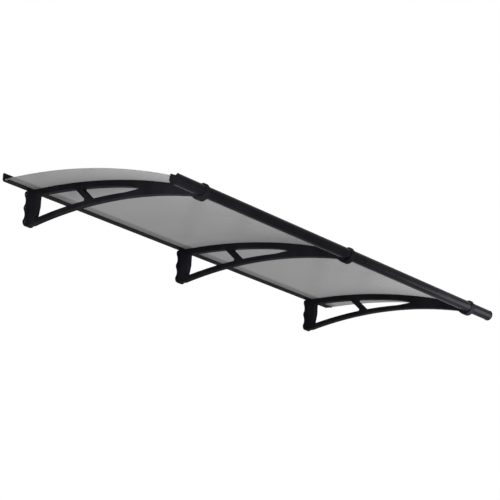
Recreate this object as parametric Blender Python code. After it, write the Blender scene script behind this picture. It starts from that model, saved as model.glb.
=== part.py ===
# Door awning: one arched smoked sheet on three truss brackets, with a wall rail
# and a round front gutter. Metres, +Z up, the wall is the plane y = 0 and the
# awning stands out towards -Y. The origin is the centre of the middle bracket's
# wall plate. Profiles are drawn as (u, z) pairs, where u is the distance from
# the wall, or as (x, z) pairs on the wall plates.

import math

import bmesh
import bpy

# Overall
OVERALL_LENGTH = 2.400
BRACKET_INSET = 0.180
SEAT_GAP = 0.0003

# Arched sheet
SHEET_THICKNESS = 0.003
SHEET_RADIUS = 2.740
SHEET_CREST_U = 0.102
SHEET_CREST_Z = 0.0841
SHEET_SETBACK = 0.0040
SHEET_REAR_GAP = 0.0020
SHEET_STEPS = 44

# Rubber strips
STRIP_THICKNESS = 0.0016
PAD_WIDTH = 0.022
SEAL_HEIGHT = 0.004
SEAL_DEPTH = 0.006

# Wall rail
RAIL_SETBACK = 0.0115
RAIL_WALL = 0.0016
RAIL_LEDGE_DEPTH = 0.038
RAIL_GROOVE_WIDTH = 0.0094
RAIL_FLANGE_TOP_Z = 0.111
RAIL_HOOD_DEPTH = 0.049
RAIL_STRIP_WIDTH = 0.007
RAIL_LIP_HEIGHT = 0.0024
RAIL_CAP_MARGIN = 0.0010

# Gutter tube
TUBE_U = 0.943
TUBE_DROP = 0.0093
TUBE_RADIUS = 0.0246
TUBE_WALL = 0.0018
TUBE_LIP_ANGLE = 52.0
JAW_DEPTH = 0.017
JAW_REACH = 0.0010
JAW_BEAD = 0.0010
TUBE_STEPS = 36

# End caps
CAP_THICKNESS = 0.003
CAP_MARGIN = 0.0012
CAP_DIP_U = 0.0048
CAP_DIP_Z = 0.0130

# Bracket arm
ARM_WIDTH = 0.030
UPPER_CHORD_DEPTH = 0.0246
LOWER_CHORD_DEPTH = 0.0202
LOWER_CHORD_RADIUS = 2.030
LOWER_CHORD_CREST_U = 0.469
LOWER_CHORD_CREST_Z = -0.0277
LEG_DEPTH = 0.0555
LEG_FOOT_DEPTH = 0.0445
LEG_TAPER_TOP_Z = 0.005
LEG_FOOT_RISE = 0.003
LEG_FOOT_RADIUS = 0.008
LEG_FOOT_RUN = 0.012
CHORD_END_GAP = 0.006
CHORD_END_SLOPE = 0.004
STRUT_TOP_U = 0.2925
STRUT_TOP_Z = 0.0420
STRUT_FOOT_U = 0.3410
STRUT_FOOT_Z = -0.0030
STRUT_THICKNESS = 0.023
FRONT_GAP_END_U = 0.632
FRONT_GAP_TAPER = 0.085
WEDGE_TIP_HEIGHT = 0.62
WEDGE_POWER = 1.6
CORNER_RADIUS = 0.006
SHARP_CORNER_RADIUS = 0.003
ARM_EDGE = 0.0012
RIM_ANGLE = 60.0
ARM_STEPS = 20
REAR_GAP_STEPS = 8
FRONT_GAP_STEPS = 14

# Wall plate
PLATE_THICKNESS = 0.006
EAR_RADIUS = 0.017
EAR_CENTRE_X = 0.0150
EAR_TOP_ANGLE = 62.5
EAR_STEPS = 8
VALLEY_STEPS = 6
PLATE_WAIST_X = 0.0225
PLATE_TOP_DROP = 0.0020
WALL_HOLE_X = 0.0235
WALL_HOLE_RADIUS = 0.00275
WALL_HOLE_SINK_RADIUS = 0.0048
WALL_HOLE_SINK_DEPTH = 0.0024

# Hook round the tube
HOOK_FRONT_WALL = 0.0020
HOOK_TOP_WALL = 0.0032
HOOK_BOTTOM_WALL = 0.0132
HOOK_PEAK_U = 0.0125
HOOK_TIP_U = -0.0075

# Screws
RAIL_SCREW_U = 0.0102
RAIL_SCREW_RADIUS = 0.0020
RAIL_SCREW_LENGTH = 0.016
RAIL_SCREW_HEAD_RADIUS = 0.0040
RAIL_SCREW_HEAD_HEIGHT = 0.0026
HOOK_SCREW_U = -0.0070
HOOK_SCREW_RADIUS = 0.0025
HOOK_SCREW_LENGTH = 0.0080
HOOK_SCREW_SOCKET_RADIUS = 0.0014
HOOK_SCREW_SOCKET_DEPTH = 0.0020
SCREW_CLEARANCE = 0.0003
ROUND_STEPS = 20

# Colours: base colour, metallic, roughness, alpha
SMOKED = ((0.300, 0.300, 0.305), 0.0, 0.08, 0.55)
BLACK = ((0.012, 0.012, 0.014), 0.0, 0.42, 1.0)
TUBE_BLACK = ((0.020, 0.020, 0.022), 0.0, 0.32, 1.0)
CAP_BLACK = ((0.014, 0.014, 0.015), 0.0, 0.55, 1.0)
RUBBER = ((0.018, 0.018, 0.018), 0.0, 0.80, 1.0)
STEEL = ((0.560, 0.565, 0.570), 1.0, 0.30, 1.0)

# Values that follow from the ones above
BRACKET_SPACING = OVERALL_LENGTH / 2 - BRACKET_INSET
CAP_INNER_X = OVERALL_LENGTH / 2 - CAP_THICKNESS - SEAT_GAP
RAIL_INNER_X = CAP_INNER_X - RAIL_SETBACK
SHEET_END_X = CAP_INNER_X - SHEET_SETBACK
SHEET_CENTRE_Z = SHEET_CREST_Z - SHEET_RADIUS
SHEET_MIDDLE_RADIUS = SHEET_RADIUS - SHEET_THICKNESS / 2
SHEET_UNDER_RADIUS = SHEET_RADIUS - SHEET_THICKNESS
SHEET_REAR_U = RAIL_SCREW_U + RAIL_SCREW_HEAD_RADIUS + SHEET_REAR_GAP
CHORD_TOP_RADIUS = SHEET_UNDER_RADIUS - STRIP_THICKNESS - 2 * SEAT_GAP
CHORD_UNDER_RADIUS = CHORD_TOP_RADIUS - UPPER_CHORD_DEPTH
LOWER_CENTRE_Z = LOWER_CHORD_CREST_Z - LOWER_CHORD_RADIUS
LOWER_TOP_RADIUS = LOWER_CHORD_RADIUS + LOWER_CHORD_DEPTH


def clear_scene():
    for item in list(bpy.data.objects):
        bpy.data.objects.remove(item, do_unlink=True)


# Heights on the arcs of the sheet and of the two chords

def sheet_z(u, radius):
    return SHEET_CENTRE_Z + math.sqrt(radius ** 2 - (u - SHEET_CREST_U) ** 2)


def lower_z(u, radius):
    return LOWER_CENTRE_Z + math.sqrt(radius ** 2 - (u - LOWER_CHORD_CREST_U) ** 2)


def steps(start, end, count):
    return [start + (end - start) * i / count for i in range(count + 1)]


def circle_points(centre, radius, start, end, count):
    angles = [math.radians(a) for a in steps(start, end, count)]
    return [(centre[0] + radius * math.cos(a), centre[1] + radius * math.sin(a)) for a in angles]


# The rail's ledge lies close under the sheet, with a groove for the strip near its front

RAIL_BOTTOM_Z = sheet_z(SHEET_REAR_U, SHEET_UNDER_RADIUS) - SEAT_GAP - RAIL_WALL
GROOVE_BACK_U = RAIL_LEDGE_DEPTH - RAIL_WALL - RAIL_GROOVE_WIDTH
LEDGE_STRIP_TOP_Z = sheet_z(GROOVE_BACK_U, SHEET_UNDER_RADIUS) - SEAT_GAP
GROOVE_FLOOR_Z = LEDGE_STRIP_TOP_Z - STRIP_THICKNESS - SEAT_GAP
GROOVE_BOTTOM_Z = GROOVE_FLOOR_Z - RAIL_WALL

# The leg of the bracket and its wall plate end under the ledge

LEG_TOP_Z = RAIL_BOTTOM_Z - SEAT_GAP
EAR_PITCH = LEG_TOP_Z - PLATE_TOP_DROP - EAR_RADIUS * math.sin(math.radians(EAR_TOP_ANGLE))
PLATE_BOTTOM_Z = -EAR_PITCH - EAR_RADIUS

# The tube hangs below the sheet's middle line. The jaw that holds the sheet's front edge
# lies along the sheet, so its points are given along (s) and across (n) that line, from
# the tube's centre.

TUBE_ARC_RADIUS = SHEET_MIDDLE_RADIUS - TUBE_DROP
TUBE_Z = sheet_z(TUBE_U, TUBE_ARC_RADIUS)
JAW_MOUTH = -TUBE_RADIUS - JAW_REACH
JAW_END = JAW_MOUTH + JAW_DEPTH
JAW_TILT = math.asin((TUBE_U - SHEET_CREST_U) / TUBE_ARC_RADIUS) + (JAW_MOUTH + JAW_END) / 2 / SHEET_RADIUS


def tilted(s, n):
    u = TUBE_U + s * math.cos(JAW_TILT) + n * math.sin(JAW_TILT)
    z = TUBE_Z - s * math.sin(JAW_TILT) + n * math.cos(JAW_TILT)
    return (u, z)


def across_jaw(u, z):
    return (u - TUBE_U) * math.sin(JAW_TILT) + (z - TUBE_Z) * math.cos(JAW_TILT)


JAW_MIDDLE_U = tilted((JAW_MOUTH + JAW_END) / 2, 0.0)[0]
SHEET_LINE = across_jaw(JAW_MIDDLE_U, sheet_z(JAW_MIDDLE_U, SHEET_MIDDLE_RADIUS))
JAW_FLOOR = SHEET_LINE - SHEET_THICKNESS / 2 - SEAT_GAP
JAW_ROOF = SHEET_LINE + SHEET_THICKNESS / 2 + STRIP_THICKNESS + 2 * SEAT_GAP
SHEET_FRONT_U = tilted(JAW_END - SEAT_GAP, SHEET_LINE)[0]


def fillet(before, corner, after, radius, count=4):
    ax, az = before[0] - corner[0], before[1] - corner[1]
    bx, bz = after[0] - corner[0], after[1] - corner[1]
    la, lb = math.hypot(ax, az), math.hypot(bx, bz)
    ax, az, bx, bz = ax / la, az / la, bx / lb, bz / lb
    half = math.acos(max(-1.0, min(1.0, ax * bx + az * bz))) / 2
    reach = radius / math.tan(half)
    mx, mz = ax + bx, az + bz
    lm = math.hypot(mx, mz)
    away = radius / math.sin(half)
    centre = (corner[0] + mx / lm * away, corner[1] + mz / lm * away)
    start = (corner[0] + ax * reach, corner[1] + az * reach)
    end = (corner[0] + bx * reach, corner[1] + bz * reach)
    a0 = math.atan2(start[1] - centre[1], start[0] - centre[0])
    a1 = math.atan2(end[1] - centre[1], end[0] - centre[0])
    turn = (a1 - a0 + math.pi) % (2 * math.pi) - math.pi
    angles = steps(a0, a0 + turn, count)
    return [(centre[0] + radius * math.cos(a), centre[1] + radius * math.sin(a)) for a in angles]


def rounded(outline, radii):
    result = []
    for i, corner in enumerate(outline):
        if radii.get(i, 0.0) > 0.0:
            result += fillet(outline[i - 1], corner, outline[(i + 1) % len(outline)], radii[i])
        else:
            result.append(corner)
    return result


def smooth_run(points, count):
    result = []
    padded = [points[0]] + points + [points[-1]]
    for i in range(1, len(padded) - 2):
        p0, p1, p2, p3 = padded[i - 1:i + 3]
        for k in range(count):
            t = k / count
            result.append(tuple(
                0.5 * (2 * p1[c] + (p2[c] - p0[c]) * t
                       + (2 * p0[c] - 5 * p1[c] + 4 * p2[c] - p3[c]) * t * t
                       + (3 * p1[c] - p0[c] - 3 * p2[c] + p3[c]) * t ** 3)
                for c in range(2)))
    result.append(points[-1])
    return result


def outline_area(outline):
    pairs = zip(outline, outline[1:] + outline[:1])
    return sum(a[0] * b[1] - b[0] * a[1] for a, b in pairs) / 2


# Solids: an outline is filled as one face and extruded

def finish_object(name, bm, look):
    bmesh.ops.recalc_face_normals(bm, faces=bm.faces[:])
    mesh = bpy.data.meshes.new(name)
    bm.to_mesh(mesh)
    bm.free()
    item = bpy.data.objects.new(name, mesh)
    bpy.context.scene.collection.objects.link(item)
    if look is not None:
        item.data.materials.append(make_material(name, look))
    return item


def make_material(name, look):
    colour, metallic, roughness, alpha = look
    material = bpy.data.materials.new(name)
    material.use_nodes = True
    shader = material.node_tree.nodes["Principled BSDF"]
    shader.inputs["Base Color"].default_value = (*colour, 1.0)
    shader.inputs["Metallic"].default_value = metallic
    shader.inputs["Roughness"].default_value = roughness
    shader.inputs["Alpha"].default_value = alpha
    return material


def extruded(name, outline, place, shift, look):
    if outline_area(outline) < 0:
        outline = outline[::-1]
    bm = bmesh.new()
    face = bm.faces.new([bm.verts.new(place(a, b)) for a, b in outline])
    result = bmesh.ops.extrude_face_region(bm, geom=[face])
    moved = [v for v in result["geom"] if isinstance(v, bmesh.types.BMVert)]
    bmesh.ops.translate(bm, verts=moved, vec=shift)
    return finish_object(name, bm, look)


def profile_along_x(name, outline, low, high, look=None):
    return extruded(name, outline, lambda u, z: (low, -u, z), (high - low, 0, 0), look)


def profile_off_wall(name, outline, low, high, look=None):
    return extruded(name, outline, lambda x, z: (x, -low, z), (0, low - high, 0), look)


def disc_up(name, x, u, low, high, radii, look=None, sides=ROUND_STEPS):
    bm = bmesh.new()
    matrix_sides = circle_points((x, -u), 1.0, 0, 360 - 360 / sides, sides - 1)
    rings = []
    for z, radius in ((low, radii[0]), (high, radii[1])):
        ring = [bm.verts.new((x + (a - x) * radius, -u + (b + u) * radius, z)) for a, b in matrix_sides]
        rings.append(ring)
    bm.faces.new(rings[0])
    bm.faces.new(rings[1])
    bmesh.ops.bridge_loops(bm, edges=[e for e in bm.edges if len(e.link_faces) == 1])
    return finish_object(name, bm, look)


def disc_out(name, x, z, low, high, radii, look=None):
    item = disc_up(name, 0.0, 0.0, low, high, radii, look)
    for vertex in item.data.vertices:
        px, py, pz = vertex.co
        vertex.co = (x + px, -pz, z + py)
    item.data.update()
    return item


def apply_all(item):
    depsgraph = bpy.context.evaluated_depsgraph_get()
    mesh = bpy.data.meshes.new_from_object(item.evaluated_get(depsgraph))
    item.modifiers.clear()
    item.data = mesh


def soften_sides(item, width):
    bm = bmesh.new()
    bm.from_mesh(item.data)
    rims = [e for e in bm.edges if abs(e.verts[0].co.x - e.verts[1].co.x) < SEAT_GAP]
    rims = [e for e in rims if e.calc_face_angle(0.0) > math.radians(RIM_ANGLE)]
    bmesh.ops.bevel(bm, geom=rims, offset=width, segments=2, profile=0.5, affect="EDGES")
    bm.to_mesh(item.data)
    bm.free()


def combine(item, others, operation):
    for other in others:
        boolean = item.modifiers.new(operation.lower(), "BOOLEAN")
        boolean.operation = operation
        boolean.solver = "EXACT"
        boolean.object = other
    apply_all(item)
    for other in others:
        bpy.data.objects.remove(other, do_unlink=True)


# Sheet

def build_sheet():
    centre = (SHEET_CREST_U, SHEET_CENTRE_Z)
    rear = math.degrees(math.acos((SHEET_REAR_U - SHEET_CREST_U) / SHEET_MIDDLE_RADIUS))
    front = math.degrees(math.acos((SHEET_FRONT_U - SHEET_CREST_U) / SHEET_MIDDLE_RADIUS))
    top = circle_points(centre, SHEET_RADIUS, rear, front, SHEET_STEPS)
    under = circle_points(centre, SHEET_UNDER_RADIUS, front, rear, SHEET_STEPS)
    profile_along_x("canopy_sheet", top + under, -SHEET_END_X, SHEET_END_X, SMOKED)


# Wall rail: a flange on the wall, a ledge that carries the sheet and a hood above it

HOOD_STRIP_Z = sheet_z(RAIL_HOOD_DEPTH, SHEET_RADIUS) + SEAT_GAP
HOOD_LIP_Z = HOOD_STRIP_Z + STRIP_THICKNESS + SEAT_GAP
HOOD_FRONT_Z = HOOD_LIP_Z + RAIL_LIP_HEIGHT


def rail_outline():
    ledge_top = RAIL_BOTTOM_Z + RAIL_WALL
    slope = (RAIL_FLANGE_TOP_Z - HOOD_FRONT_Z) / RAIL_HOOD_DEPTH
    under_top = RAIL_FLANGE_TOP_Z - slope * RAIL_WALL - RAIL_WALL * math.hypot(1.0, slope)
    lip_in = RAIL_HOOD_DEPTH - RAIL_STRIP_WIDTH
    under_lip = under_top - slope * (lip_in - RAIL_WALL)
    groove_front = RAIL_LEDGE_DEPTH - RAIL_WALL
    step = GROOVE_BACK_U - RAIL_WALL
    return [
        (0.0, RAIL_BOTTOM_Z), (step, RAIL_BOTTOM_Z), (step, GROOVE_BOTTOM_Z),
        (RAIL_LEDGE_DEPTH, GROOVE_BOTTOM_Z), (RAIL_LEDGE_DEPTH, ledge_top), (groove_front, ledge_top),
        (groove_front, GROOVE_FLOOR_Z), (GROOVE_BACK_U, GROOVE_FLOOR_Z),
        (GROOVE_BACK_U, ledge_top), (RAIL_WALL, ledge_top),
        (RAIL_WALL, under_top), (lip_in, under_lip), (lip_in, HOOD_LIP_Z),
        (RAIL_HOOD_DEPTH, HOOD_LIP_Z), (RAIL_HOOD_DEPTH, HOOD_FRONT_Z),
        (0.0, RAIL_FLANGE_TOP_Z),
    ]


def build_rail():
    rail = profile_along_x("wall_rail", rail_outline(), -RAIL_INNER_X, RAIL_INNER_X, BLACK)
    holes = []
    low = RAIL_BOTTOM_Z - RAIL_WALL
    high = RAIL_BOTTOM_Z + 2 * RAIL_WALL
    radius = RAIL_SCREW_RADIUS + SCREW_CLEARANCE
    for x in (-BRACKET_SPACING, 0.0, BRACKET_SPACING):
        holes.append(disc_up("rail_hole", x, RAIL_SCREW_U, low, high, (radius, radius)))
    combine(rail, holes, "DIFFERENCE")


def build_rail_strips():
    front = RAIL_HOOD_DEPTH
    back = RAIL_HOOD_DEPTH - RAIL_STRIP_WIDTH
    hood = [(back, HOOD_STRIP_Z), (front, HOOD_STRIP_Z),
            (front, HOOD_LIP_Z - SEAT_GAP), (back, HOOD_LIP_Z - SEAT_GAP)]
    profile_along_x("hood_strip", hood, -RAIL_INNER_X, RAIL_INNER_X, RUBBER)
    front = RAIL_LEDGE_DEPTH - RAIL_WALL - SEAT_GAP
    back = GROOVE_BACK_U + SEAT_GAP
    low = GROOVE_FLOOR_Z + SEAT_GAP
    ledge = [(back, low), (front, low), (front, LEDGE_STRIP_TOP_Z), (back, LEDGE_STRIP_TOP_Z)]
    profile_along_x("ledge_strip", ledge, -RAIL_INNER_X, RAIL_INNER_X, RUBBER)
    low = RAIL_FLANGE_TOP_Z + SEAT_GAP
    seal = [(0.0, low), (SEAL_DEPTH, low), (SEAL_DEPTH / 3, low + SEAL_HEIGHT), (0.0, low + SEAL_HEIGHT)]
    profile_along_x("wall_seal", seal, -RAIL_INNER_X, RAIL_INNER_X, RUBBER)


# Each end cover closes the hood above the sheet and leaves the sheet's slot open

def build_rail_caps():
    front = RAIL_HOOD_DEPTH + RAIL_CAP_MARGIN
    over_sheet = SHEET_RADIUS + 2 * SEAT_GAP
    outline = [(u, sheet_z(u, over_sheet)) for u in steps(0.0, front, 4)]
    outline.append((front, HOOD_FRONT_Z + RAIL_CAP_MARGIN))
    outline.append((0.0, RAIL_FLANGE_TOP_Z + RAIL_CAP_MARGIN))
    outline = rounded(outline, {5: RAIL_WALL})
    near = RAIL_INNER_X + SEAT_GAP
    far = near + CAP_THICKNESS
    profile_along_x("rail_cap_left", outline, -far, -near, CAP_BLACK)
    profile_along_x("rail_cap_right", outline, near, far, CAP_BLACK)


# Gutter: a tube, open on top, with a jaw along its back for the sheet

def tube_outline():
    centre = (TUBE_U, TUBE_Z)
    inner = TUBE_RADIUS - TUBE_WALL
    floor_low = JAW_FLOOR - TUBE_WALL
    roof_high = JAW_ROOF + TUBE_WALL
    back = math.degrees(math.pi - math.asin(floor_low / TUBE_RADIUS) - JAW_TILT)
    inside = math.degrees(math.pi - math.asin(floor_low / inner) - JAW_TILT)
    outside = circle_points(centre, TUBE_RADIUS, back, 360 + TUBE_LIP_ANGLE, TUBE_STEPS)
    lip = circle_points(centre, inner, 360 + TUBE_LIP_ANGLE, inside, TUBE_STEPS)
    jaw = [
        tilted(JAW_END + TUBE_WALL, floor_low), tilted(JAW_END + TUBE_WALL, roof_high),
        tilted(JAW_MOUTH + 2 * TUBE_WALL, roof_high),
        tilted(JAW_MOUTH + TUBE_WALL, roof_high + JAW_BEAD), tilted(JAW_MOUTH, roof_high + JAW_BEAD),
        tilted(JAW_MOUTH, JAW_ROOF), tilted(JAW_END, JAW_ROOF),
        tilted(JAW_END, JAW_FLOOR), tilted(JAW_MOUTH, JAW_FLOOR), tilted(JAW_MOUTH, floor_low),
    ]
    return outside + lip + jaw


def build_gutter():
    profile_along_x("gutter_tube", tube_outline(), -CAP_INNER_X, CAP_INNER_X, TUBE_BLACK)
    low = SHEET_LINE + SHEET_THICKNESS / 2 + SEAT_GAP
    high = low + STRIP_THICKNESS
    strip = [tilted(s, n) for s, n in (
        (JAW_MOUTH, low), (JAW_END - SEAT_GAP, low), (JAW_END - SEAT_GAP, high), (JAW_MOUTH, high))]
    profile_along_x("gutter_strip", strip, -CAP_INNER_X, CAP_INNER_X, RUBBER)


def build_gutter_caps():
    radius = TUBE_RADIUS + CAP_MARGIN
    floor_low = JAW_FLOOR - TUBE_WALL
    back = math.degrees(math.pi - math.asin(floor_low / radius) - JAW_TILT)
    ring = circle_points((TUBE_U, TUBE_Z), radius, TUBE_LIP_ANGLE, back - 360, TUBE_STEPS)
    roof = JAW_ROOF + TUBE_WALL
    rear = JAW_MOUTH - CAP_MARGIN
    dip = (TUBE_U + CAP_DIP_U, TUBE_Z + CAP_DIP_Z)
    shoulder = tilted(JAW_MOUTH + 3 * TUBE_WALL, roof)
    outline = ring + [tilted(rear, floor_low), tilted(rear, roof), shoulder, dip]
    count = len(ring)
    soft = 2 * CAP_MARGIN
    outline = rounded(outline, {count + 1: CAP_MARGIN, count + 2: soft, count + 3: soft})
    half = OVERALL_LENGTH / 2
    profile_along_x("gutter_cap_left", outline, -half, -half + CAP_THICKNESS, CAP_BLACK)
    profile_along_x("gutter_cap_right", outline, half - CAP_THICKNESS, half, CAP_BLACK)


# Bracket: a wall leg, two arched chords, a strut and a hook round the tube

HOOK_INNER_RADIUS = TUBE_RADIUS + SEAT_GAP
ARM_TOP_LINE = JAW_FLOOR - TUBE_WALL - 3 * SEAT_GAP
CHORD_TOP_END_U = tilted(JAW_MOUTH - CHORD_END_GAP - CHORD_END_SLOPE, 0.0)[0]


def hook_outline():
    radius = HOOK_INNER_RADIUS
    bottom = radius + HOOK_BOTTOM_WALL
    front = radius + HOOK_FRONT_WALL
    top = radius + HOOK_TOP_WALL
    shape = [
        (-1.40 * bottom, -0.34 * bottom), (-1.12 * bottom, -0.60 * bottom),
        (-0.83 * bottom, -0.83 * bottom), (-0.45 * bottom, -bottom),
        (-0.08 * bottom, -0.97 * bottom), (0.29 * bottom, -0.79 * bottom),
        (0.80 * front, -0.68 * front), (0.99 * front, -0.15 * front),
        (0.96 * front, 0.30 * front), (0.70 * top, 0.60 * top),
    ]
    run = smooth_run([(TUBE_U + u, TUBE_Z + z) for u, z in shape], 3)
    peak = (TUBE_U + HOOK_PEAK_U, TUBE_Z + top)
    tip = (TUBE_U + HOOK_TIP_U, TUBE_Z + top)
    tip_angle = math.degrees(math.acos(HOOK_TIP_U / radius))
    inner_end = math.degrees(math.pi - math.asin(ARM_TOP_LINE / radius) - JAW_TILT)
    inner = circle_points((TUBE_U, TUBE_Z), radius, tip_angle, inner_end - 360, TUBE_STEPS)
    count = len(run)
    outline = run + [peak, tip] + inner
    return rounded(outline, {count: 2 * ARM_EDGE, count + 1: 2 * ARM_EDGE})


def arm_outline():
    arc_end = TUBE_U - 2 * (HOOK_INNER_RADIUS + HOOK_BOTTOM_WALL)
    foot = PLATE_BOTTOM_Z + LEG_FOOT_RISE
    arc_start = LEG_FOOT_DEPTH + LEG_FOOT_RUN
    outline = [(PLATE_THICKNESS / 2, foot), (LEG_FOOT_DEPTH - LEG_FOOT_RADIUS, foot)]
    outline += [(u, lower_z(u, LOWER_CHORD_RADIUS)) for u in steps(arc_start, arc_end, ARM_STEPS)]
    outline += hook_outline()
    outline.append(tilted(JAW_MOUTH - CHORD_END_GAP, ARM_TOP_LINE))
    start = RAIL_LEDGE_DEPTH + SEAT_GAP
    outline += [(u, sheet_z(u, CHORD_TOP_RADIUS)) for u in steps(CHORD_TOP_END_U, start, ARM_STEPS)]
    step = GROOVE_BACK_U - RAIL_WALL - SEAT_GAP
    low = GROOVE_BOTTOM_Z - SEAT_GAP
    outline += [(start, low), (step, low), (step, LEG_TOP_Z), (PLATE_THICKNESS / 2, LEG_TOP_Z)]
    return rounded(outline, {1: LEG_FOOT_RADIUS})


def strut_line(side):
    du = STRUT_FOOT_U - STRUT_TOP_U
    dz = STRUT_FOOT_Z - STRUT_TOP_Z
    length = math.hypot(du, dz)
    offset = side * STRUT_THICKNESS / 2
    point = (STRUT_TOP_U - dz / length * offset, STRUT_TOP_Z + du / length * offset)
    return point, (du / length, dz / length)


def meet(point, direction, height):
    low, high = -0.2, 0.2
    for _ in range(60):
        middle = (low + high) / 2
        u = point[0] + direction[0] * middle
        z = point[1] + direction[1] * middle
        if z > height(u):
            low = middle
        else:
            high = middle
    return (u, z)


def chord_under(u):
    return sheet_z(u, CHORD_UNDER_RADIUS)


def chord_over(u):
    return lower_z(u, LOWER_TOP_RADIUS)


def rear_gap_outline():
    point, direction = strut_line(-1)
    top = meet(point, direction, chord_under)
    foot = meet(point, direction, chord_over)
    over = steps(LEG_DEPTH, top[0], REAR_GAP_STEPS)[1:-1]
    under = steps(foot[0], LEG_FOOT_DEPTH, REAR_GAP_STEPS)[1:-1]
    outline = [(LEG_DEPTH, chord_under(LEG_DEPTH))]
    outline += [(u, chord_under(u)) for u in over] + [top, foot]
    outline += [(u, chord_over(u)) for u in under]
    outline += [(LEG_FOOT_DEPTH, chord_over(LEG_FOOT_DEPTH)), (LEG_DEPTH, LEG_TAPER_TOP_Z)]
    count = len(over)
    corners = [0, count + 1, count + 2, count + 3 + len(under)]
    return rounded(outline, {i: CORNER_RADIUS for i in corners})


# The front gap narrows to a point where the two chords run together

def wedge_z(u, edge_z):
    tip_z = WEDGE_TIP_HEIGHT * chord_under(u) + (1 - WEDGE_TIP_HEIGHT) * chord_over(u)
    closed = max(0.0, 1 - (FRONT_GAP_END_U - u) / FRONT_GAP_TAPER) ** WEDGE_POWER
    return edge_z + closed * (tip_z - edge_z)


def front_gap_outline():
    point, direction = strut_line(1)
    top = meet(point, direction, chord_under)
    foot = meet(point, direction, chord_over)
    over = steps(top[0], FRONT_GAP_END_U, FRONT_GAP_STEPS)[1:]
    under = steps(FRONT_GAP_END_U, foot[0], FRONT_GAP_STEPS)[1:-1]
    outline = [top] + [(u, wedge_z(u, chord_under(u))) for u in over]
    outline += [(u, wedge_z(u, chord_over(u))) for u in under] + [foot]
    last = len(outline) - 1
    return rounded(outline, {0: SHARP_CORNER_RADIUS, len(over): ARM_EDGE, last: CORNER_RADIUS})


# Wall plate: three pairs of ears, joined by hollow curves

def plate_side():
    pitch, radius = EAR_PITCH, EAR_RADIUS
    waist = PLATE_WAIST_X - EAR_CENTRE_X
    hollow = ((pitch / 2) ** 2 + waist ** 2 - radius ** 2) / (2 * (radius - waist))
    reach = math.degrees(math.atan2(pitch / 2, waist + hollow))
    side = []
    for index in (-1, 0, 1):
        ear = (EAR_CENTRE_X, index * pitch)
        start = -90 if index < 0 else -reach
        end = reach
        if index > 0:
            end = EAR_TOP_ANGLE
        side += circle_points(ear, radius, start, end, EAR_STEPS)
        if index < 1:
            valley = (PLATE_WAIST_X + hollow, (index + 0.5) * pitch)
            side += circle_points(valley, hollow, 180 + reach, 180 - reach, VALLEY_STEPS)[1:-1]
    return side


def plate_outline():
    side = plate_side()
    return side + [(-x, z) for x, z in reversed(side)]


def wall_hole_cutters():
    cutters = []
    for index in (-1, 0, 1):
        for side in (-1, 1):
            name = "wall_hole_%d_%d" % (index, side)
            place = (side * WALL_HOLE_X, index * EAR_PITCH)
            radius = WALL_HOLE_RADIUS
            cutters.append(disc_out(name, *place, -PLATE_THICKNESS, 2 * PLATE_THICKNESS, (radius, radius)))
            face = PLATE_THICKNESS + SEAT_GAP
            wide = (radius, WALL_HOLE_SINK_RADIUS)
            cutters.append(disc_out(name + "_sink", *place, face - WALL_HOLE_SINK_DEPTH, face, wide))
    return cutters


def build_brackets():
    plate = profile_off_wall("bracket_middle", plate_outline(), 0.0, PLATE_THICKNESS, BLACK)
    combine(plate, wall_hole_cutters(), "DIFFERENCE")
    arm = profile_along_x("arm", arm_outline(), -ARM_WIDTH / 2, ARM_WIDTH / 2)
    gaps = [profile_along_x("rear_gap", rear_gap_outline(), -ARM_WIDTH, ARM_WIDTH),
            profile_along_x("front_gap", front_gap_outline(), -ARM_WIDTH, ARM_WIDTH)]
    combine(arm, gaps, "DIFFERENCE")
    soften_sides(arm, ARM_EDGE)
    combine(plate, [arm], "UNION")
    rail_radius = RAIL_SCREW_RADIUS + SCREW_CLEARANCE
    hook_radius = HOOK_SCREW_RADIUS + SCREW_CLEARANCE
    depth = RAIL_SCREW_LENGTH + 2 * SEAT_GAP
    hook_u = TUBE_U + HOOK_SCREW_U
    low = TUBE_Z - 3 * TUBE_RADIUS
    high = TUBE_Z - TUBE_RADIUS / 2
    deep, over = LEG_TOP_Z - depth, LEG_TOP_Z + depth
    rail_hole = disc_up("rail_screw_hole", 0.0, RAIL_SCREW_U, deep, over, (rail_radius,) * 2)
    hook_hole = disc_up("hook_screw_hole", 0.0, hook_u, low, high, (hook_radius,) * 2)
    combine(plate, [rail_hole, hook_hole], "DIFFERENCE")
    place_copies(plate, BLACK)


def build_pads():
    outer = SHEET_UNDER_RADIUS - SEAT_GAP
    inner = outer - STRIP_THICKNESS
    start = RAIL_LEDGE_DEPTH + 3 * RAIL_WALL
    end = CHORD_TOP_END_U - CHORD_END_SLOPE
    outline = [(u, sheet_z(u, outer)) for u in steps(start, end, ARM_STEPS)]
    outline += [(u, sheet_z(u, inner)) for u in steps(end, start, ARM_STEPS)]
    place_copies(profile_along_x("pad_middle", outline, -PAD_WIDTH / 2, PAD_WIDTH / 2, RUBBER), RUBBER)


# Screws: one down through the rail into each leg, one up through each hook to the tube

def build_rail_screws():
    seat = RAIL_BOTTOM_Z + RAIL_WALL + SEAT_GAP
    top = seat + RAIL_SCREW_HEAD_HEIGHT
    radius = RAIL_SCREW_HEAD_RADIUS
    head = disc_up("rail_screw_middle", 0.0, RAIL_SCREW_U, seat, top, (radius, 0.8 * radius), STEEL)
    end = LEG_TOP_Z - RAIL_SCREW_LENGTH
    shank = disc_up("shank", 0.0, RAIL_SCREW_U, end, (seat + top) / 2, (RAIL_SCREW_RADIUS,) * 2)
    combine(head, [shank], "UNION")
    place_copies(head, STEEL)


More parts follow.
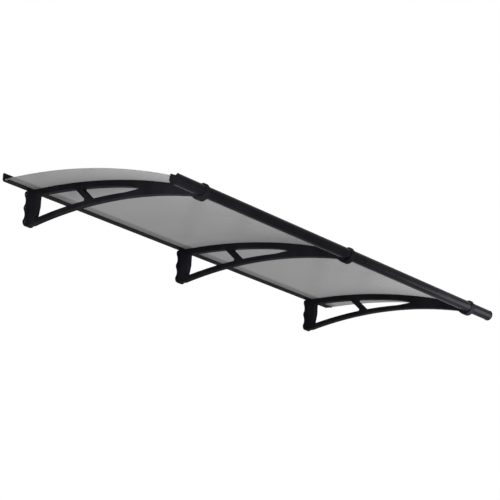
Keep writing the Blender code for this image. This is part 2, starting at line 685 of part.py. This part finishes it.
def build_hook_screws():
    u = TUBE_U + HOOK_SCREW_U
    reach = math.sqrt(TUBE_RADIUS ** 2 - (abs(HOOK_SCREW_U) - HOOK_SCREW_RADIUS) ** 2)
    top = TUBE_Z - reach - SEAT_GAP
    low = top - HOOK_SCREW_LENGTH
    screw = disc_up("hook_screw_middle", 0.0, u, low, top, (HOOK_SCREW_RADIUS,) * 2, STEEL)
    socket = disc_up("socket", 0.0, u, low - SEAT_GAP, low + HOOK_SCREW_SOCKET_DEPTH,
                     (HOOK_SCREW_SOCKET_RADIUS,) * 2, None, 6)
    combine(screw, [socket], "DIFFERENCE")
    place_copies(screw, STEEL)


# The pieces of the middle bracket stand at x = 0 and are repeated to its left and right

def place_copies(item, look):
    for side in (-1, 1):
        name = item.name.replace("middle", "left" if side < 0 else "right")
        mesh = item.data.copy()
        mesh.materials.clear()
        mesh.materials.append(make_material(name, look))
        copy = bpy.data.objects.new(name, mesh)
        copy.location.x = side * BRACKET_SPACING
        bpy.context.scene.collection.objects.link(copy)


def shade(limit=35.0):
    for item in bpy.context.scene.objects:
        item.data.shade_smooth()
        item.data.set_sharp_from_angle(angle=math.radians(limit))


def main():
    clear_scene()
    build_sheet()
    build_rail()
    build_rail_strips()
    build_rail_caps()
    build_gutter()
    build_gutter_caps()
    build_brackets()
    build_pads()
    build_rail_screws()
    build_hook_screws()
    shade()


main()
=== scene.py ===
import bpy
from mathutils import Matrix, Vector


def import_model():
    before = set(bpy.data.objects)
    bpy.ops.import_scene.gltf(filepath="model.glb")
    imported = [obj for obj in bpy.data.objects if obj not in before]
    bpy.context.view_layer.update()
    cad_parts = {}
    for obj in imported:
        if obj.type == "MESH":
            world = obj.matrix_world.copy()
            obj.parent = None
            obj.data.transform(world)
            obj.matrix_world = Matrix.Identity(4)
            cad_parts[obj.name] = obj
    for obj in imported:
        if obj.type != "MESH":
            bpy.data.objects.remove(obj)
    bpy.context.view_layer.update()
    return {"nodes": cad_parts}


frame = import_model()
nodes = frame["nodes"]

# Noise values lie mostly between these two, so ramps start and end there
NOISE_LOW = 0.3
NOISE_HIGH = 0.7

# Studio, in metres
FLOOR_PLACE = (0.0, -0.5, -3.4)
FLOOR_REACH = 60.0
SOFT_STRENGTH = 0.75
WHITE_STRENGTH = 1.0
AWNING_MIDDLE = (0.0, -0.4, 0.0)

# Camera, in metres, with its lens and sensor in millimetres
CAMERA_PLACE = (-6.4953, -5.4060, -2.2872)
CAMERA_RIGHT = (0.59855, -0.79961, 0.04854)
CAMERA_FORWARD = (0.76235, 0.58718, 0.27211)
CAMERA_LENS = 135.92
CAMERA_SENSOR = 36.0
CAMERA_REACH = 200.0


# Materials

def grey(value, blue=None):
    """A grey in red, green, blue and alpha, with a blue of its own where it is tinted."""
    return (value, value, value if blue is None else blue, 1.0)


def set_inputs(node, values):
    for key, value in values.items():
        node.inputs[key.replace("_", " ")].default_value = value


class Finish:
    """A material with a Principled shader, and short calls that vary its surface with noise."""

    def __init__(self, name, **values):
        self.material = bpy.data.materials.new(name)
        self.material.use_nodes = True
        self.tree = self.material.node_tree
        self.shader = self.tree.nodes["Principled BSDF"]
        set_inputs(self.shader, values)
        self.place = self.tree.nodes.new("ShaderNodeTexCoord").outputs["Object"]

    def add(self, kind, socket, source, **values):
        """A new node with these values, fed by the source at the socket."""
        node = self.tree.nodes.new(kind)
        set_inputs(node, values)
        self.tree.links.new(source, node.inputs[socket])
        return node

    def feed(self, socket, output):
        self.tree.links.new(output, self.shader.inputs[socket])

    def noise(self, scale, detail, rough=0.5, stretch=None):
        place = self.place
        if stretch:
            place = self.add("ShaderNodeMapping", "Vector", place, Scale=stretch).outputs["Vector"]
        node = self.add("ShaderNodeTexNoise", "Vector", place, Scale=scale, Detail=detail, Roughness=rough)
        return node.outputs["Fac"]

    def mottle(self, dark, light, scale, detail=3.0, start=NOISE_LOW):
        """Lets the colour go from dark to light in patches."""
        node = self.add("ShaderNodeValToRGB", "Fac", self.noise(scale, detail))
        low, high = node.color_ramp.elements
        low.position, low.color = start, dark
        high.position, high.color = NOISE_HIGH, light
        self.feed("Base Color", node.outputs["Color"])

    def wear(self, low, high, scale, detail=3.0):
        """Lets the roughness go from low to high in patches."""
        node = self.add("ShaderNodeMapRange", "Value", self.noise(scale, detail),
                        From_Min=NOISE_LOW, From_Max=NOISE_HIGH, To_Min=low, To_Max=high)
        self.feed("Roughness", node.outputs["Result"])

    def grain(self, strength, depth, scale, detail=2.0, rough=0.5, stretch=None):
        """Lets the surface rise and fall, by depth in metres."""
        height = self.noise(scale, detail, rough, stretch)
        node = self.add("ShaderNodeBump", "Height", height, Strength=strength, Distance=depth)
        self.feed("Normal", node.outputs["Normal"])


def smoked_sheet():
    finish = Finish("smoked_sheet", IOR=1.01, Transmission_Weight=0.59,
                    Coat_Weight=0.05, Coat_Roughness=0.16, Coat_IOR=1.5)
    finish.mottle(dark=grey(0.280, 0.282), light=grey(0.306, 0.308), scale=1.6, detail=2.0)
    finish.wear(low=0.17, high=0.23, scale=40.0)
    finish.grain(strength=0.25, depth=0.0006, scale=3.0, stretch=(0.6, 6.0, 6.0))
    return finish.material


def powder_coat(name, dark, light, smooth, rough, gloss):
    finish = Finish(name, Specular_IOR_Level=gloss)
    finish.mottle(dark, light, scale=9.0, detail=2.0, start=0.35)
    finish.wear(smooth, rough, scale=60.0, detail=4.0)
    finish.grain(strength=0.35, depth=0.0002, scale=1500.0, rough=0.6)
    return finish.material


def bracket_coat():
    return powder_coat("bracket_coat", dark=grey(0.0050, 0.0064), light=grey(0.0084, 0.0104),
                       smooth=0.45, rough=0.57, gloss=0.01)


def tube_coat():
    return powder_coat("tube_coat", dark=grey(0.0027, 0.0038), light=grey(0.0044, 0.0058),
                       smooth=0.15, rough=0.27, gloss=0.024)


def rail_coat():
    return powder_coat("rail_coat", dark=grey(0.0050, 0.0062), light=grey(0.0075, 0.0092),
                       smooth=0.50, rough=0.62, gloss=0.02)


def rubber():
    finish = Finish("rubber", Specular_IOR_Level=0.15)
    finish.mottle(dark=grey(0.008), light=grey(0.014), scale=30.0)
    finish.wear(low=0.68, high=0.85, scale=80.0)
    finish.grain(strength=0.3, depth=0.0002, scale=700.0)
    return finish.material


def moulded_black():
    finish = Finish("moulded_black", Specular_IOR_Level=0.015)
    finish.mottle(dark=grey(0.0030, 0.0035), light=grey(0.0050, 0.0058), scale=25.0)
    finish.wear(low=0.42, high=0.55, scale=90.0)
    finish.grain(strength=0.25, depth=0.0002, scale=1100.0)
    return finish.material


def steel():
    finish = Finish("screw_steel", Metallic=1.0)
    finish.mottle(dark=grey(0.50, 0.51), light=grey(0.62, 0.63), scale=300.0)
    finish.wear(low=0.22, high=0.38, scale=400.0)
    finish.grain(strength=0.2, depth=0.0001, scale=900.0, detail=3.0)
    return finish.material


def pale_floor():
    finish = Finish("floor", Roughness=0.9)
    finish.mottle(dark=grey(0.80), light=grey(0.84), scale=0.4)
    return finish.material


# A node takes the look whose word is in its name

soft = rubber()
looks = {
    "canopy_sheet": smoked_sheet(),
    "bracket": bracket_coat(),
    "gutter_tube": tube_coat(),
    "wall_rail": rail_coat(),
    "strip": soft,
    "pad": soft,
    "seal": soft,
    "cap": moulded_black(),
    "screw": steel(),
}


def look_for(name):
    return next(look for word, look in looks.items() if word in name)


for name, item in nodes.items():
    item.data.materials.clear()
    item.data.materials.append(look_for(name))


# Floor, light and background

def floor():
    mesh = bpy.data.meshes.new("floor")
    signs = ((-1, -1), (1, -1), (1, 1), (-1, 1))
    mesh.from_pydata([(FLOOR_REACH * x, FLOOR_REACH * y, 0.0) for x, y in signs], [], [(0, 1, 2, 3)])
    mesh.materials.append(pale_floor())
    item = bpy.data.objects.new("floor", mesh)
    item.location = FLOOR_PLACE
    bpy.context.scene.collection.objects.link(item)


def lamp(name, place, target, size, watts, mirrored=True):
    data = bpy.data.lights.new(name, "AREA")
    data.shape = "RECTANGLE"
    data.size, data.size_y = size
    data.energy = watts
    item = bpy.data.objects.new(name, data)
    item.location = place
    item.rotation_euler = (Vector(target) - Vector(place)).to_track_quat("-Z", "Y").to_euler()
    item.visible_camera = False
    item.visible_transmission = False
    item.visible_glossy = mirrored
    bpy.context.scene.collection.objects.link(item)


def lamps():
    lamp("key", (-4.0, -5.0, 3.0), AWNING_MIDDLE, size=(3.0, 3.0), watts=100.0)
    lamp("fill", (3.0, -5.0, -2.0), AWNING_MIDDLE, size=(3.0, 2.0), watts=15.0)
    lamp("end", (2.35, -1.70, -0.45), (0.95, -0.85, 0.0), size=(0.5, 1.1), watts=14.5)
    lamp("low_right", (0.95, -1.35, -0.5), (0.8, -0.7, 0.05), size=(0.4, 0.4), watts=21.0, mirrored=False)
    lamp("low_left", (-1.7, -1.3, -0.6), (-1.12, -0.85, 0.0), size=(0.4, 0.4), watts=31.0, mirrored=False)
    lamp("low_middle", (-0.7, -0.6, -1.3), (-0.55, -0.5, 0.05), size=(0.6, 0.6), watts=6.0, mirrored=False)


def background(tree, strength):
    node = tree.nodes.new("ShaderNodeBackground")
    set_inputs(node, {"Color": grey(1.0), "Strength": strength})
    return node.outputs["Background"]


def background_seen(tree):
    """1 for a ray that shows the background to the camera, straight, through the sheet or mirrored."""
    paths = tree.nodes.new("ShaderNodeLightPath")
    seen = paths.outputs["Is Camera Ray"]
    for kind in ("Is Transmission Ray", "Is Glossy Ray"):
        either = tree.nodes.new("ShaderNodeMath")
        either.operation = "MAXIMUM"
        tree.links.new(seen, either.inputs[0])
        tree.links.new(paths.outputs[kind], either.inputs[1])
        seen = either.outputs["Value"]
    return seen


def world():
    studio = bpy.data.worlds.new("studio")
    bpy.context.scene.world = studio
    studio.use_nodes = True
    tree = studio.node_tree
    tree.nodes.clear()
    output = tree.nodes.new("ShaderNodeOutputWorld")
    mix = tree.nodes.new("ShaderNodeMixShader")
    tree.links.new(background_seen(tree), mix.inputs["Fac"])
    tree.links.new(background(tree, SOFT_STRENGTH), mix.inputs[1])
    tree.links.new(background(tree, WHITE_STRENGTH), mix.inputs[2])
    tree.links.new(mix.outputs["Shader"], output.inputs["Surface"])


# Camera, below, in front of and to the left of the awning, as in the photograph

def camera():
    data = bpy.data.cameras.new("camera")
    data.lens = CAMERA_LENS
    data.sensor_width = CAMERA_SENSOR
    data.clip_end = CAMERA_REACH
    item = bpy.data.objects.new("camera", data)
    forward = Vector(CAMERA_FORWARD).normalized()
    up = Vector(CAMERA_RIGHT).normalized().cross(forward).normalized()
    right = forward.cross(up)
    turn = Matrix((right, up, -forward)).transposed()
    item.matrix_world = Matrix.Translation(CAMERA_PLACE) @ turn.to_4x4()
    bpy.context.scene.collection.objects.link(item)
    bpy.context.scene.camera = item


floor()
world()
lamps()
camera()
bpy.context.scene.view_settings.view_transform = "Standard"
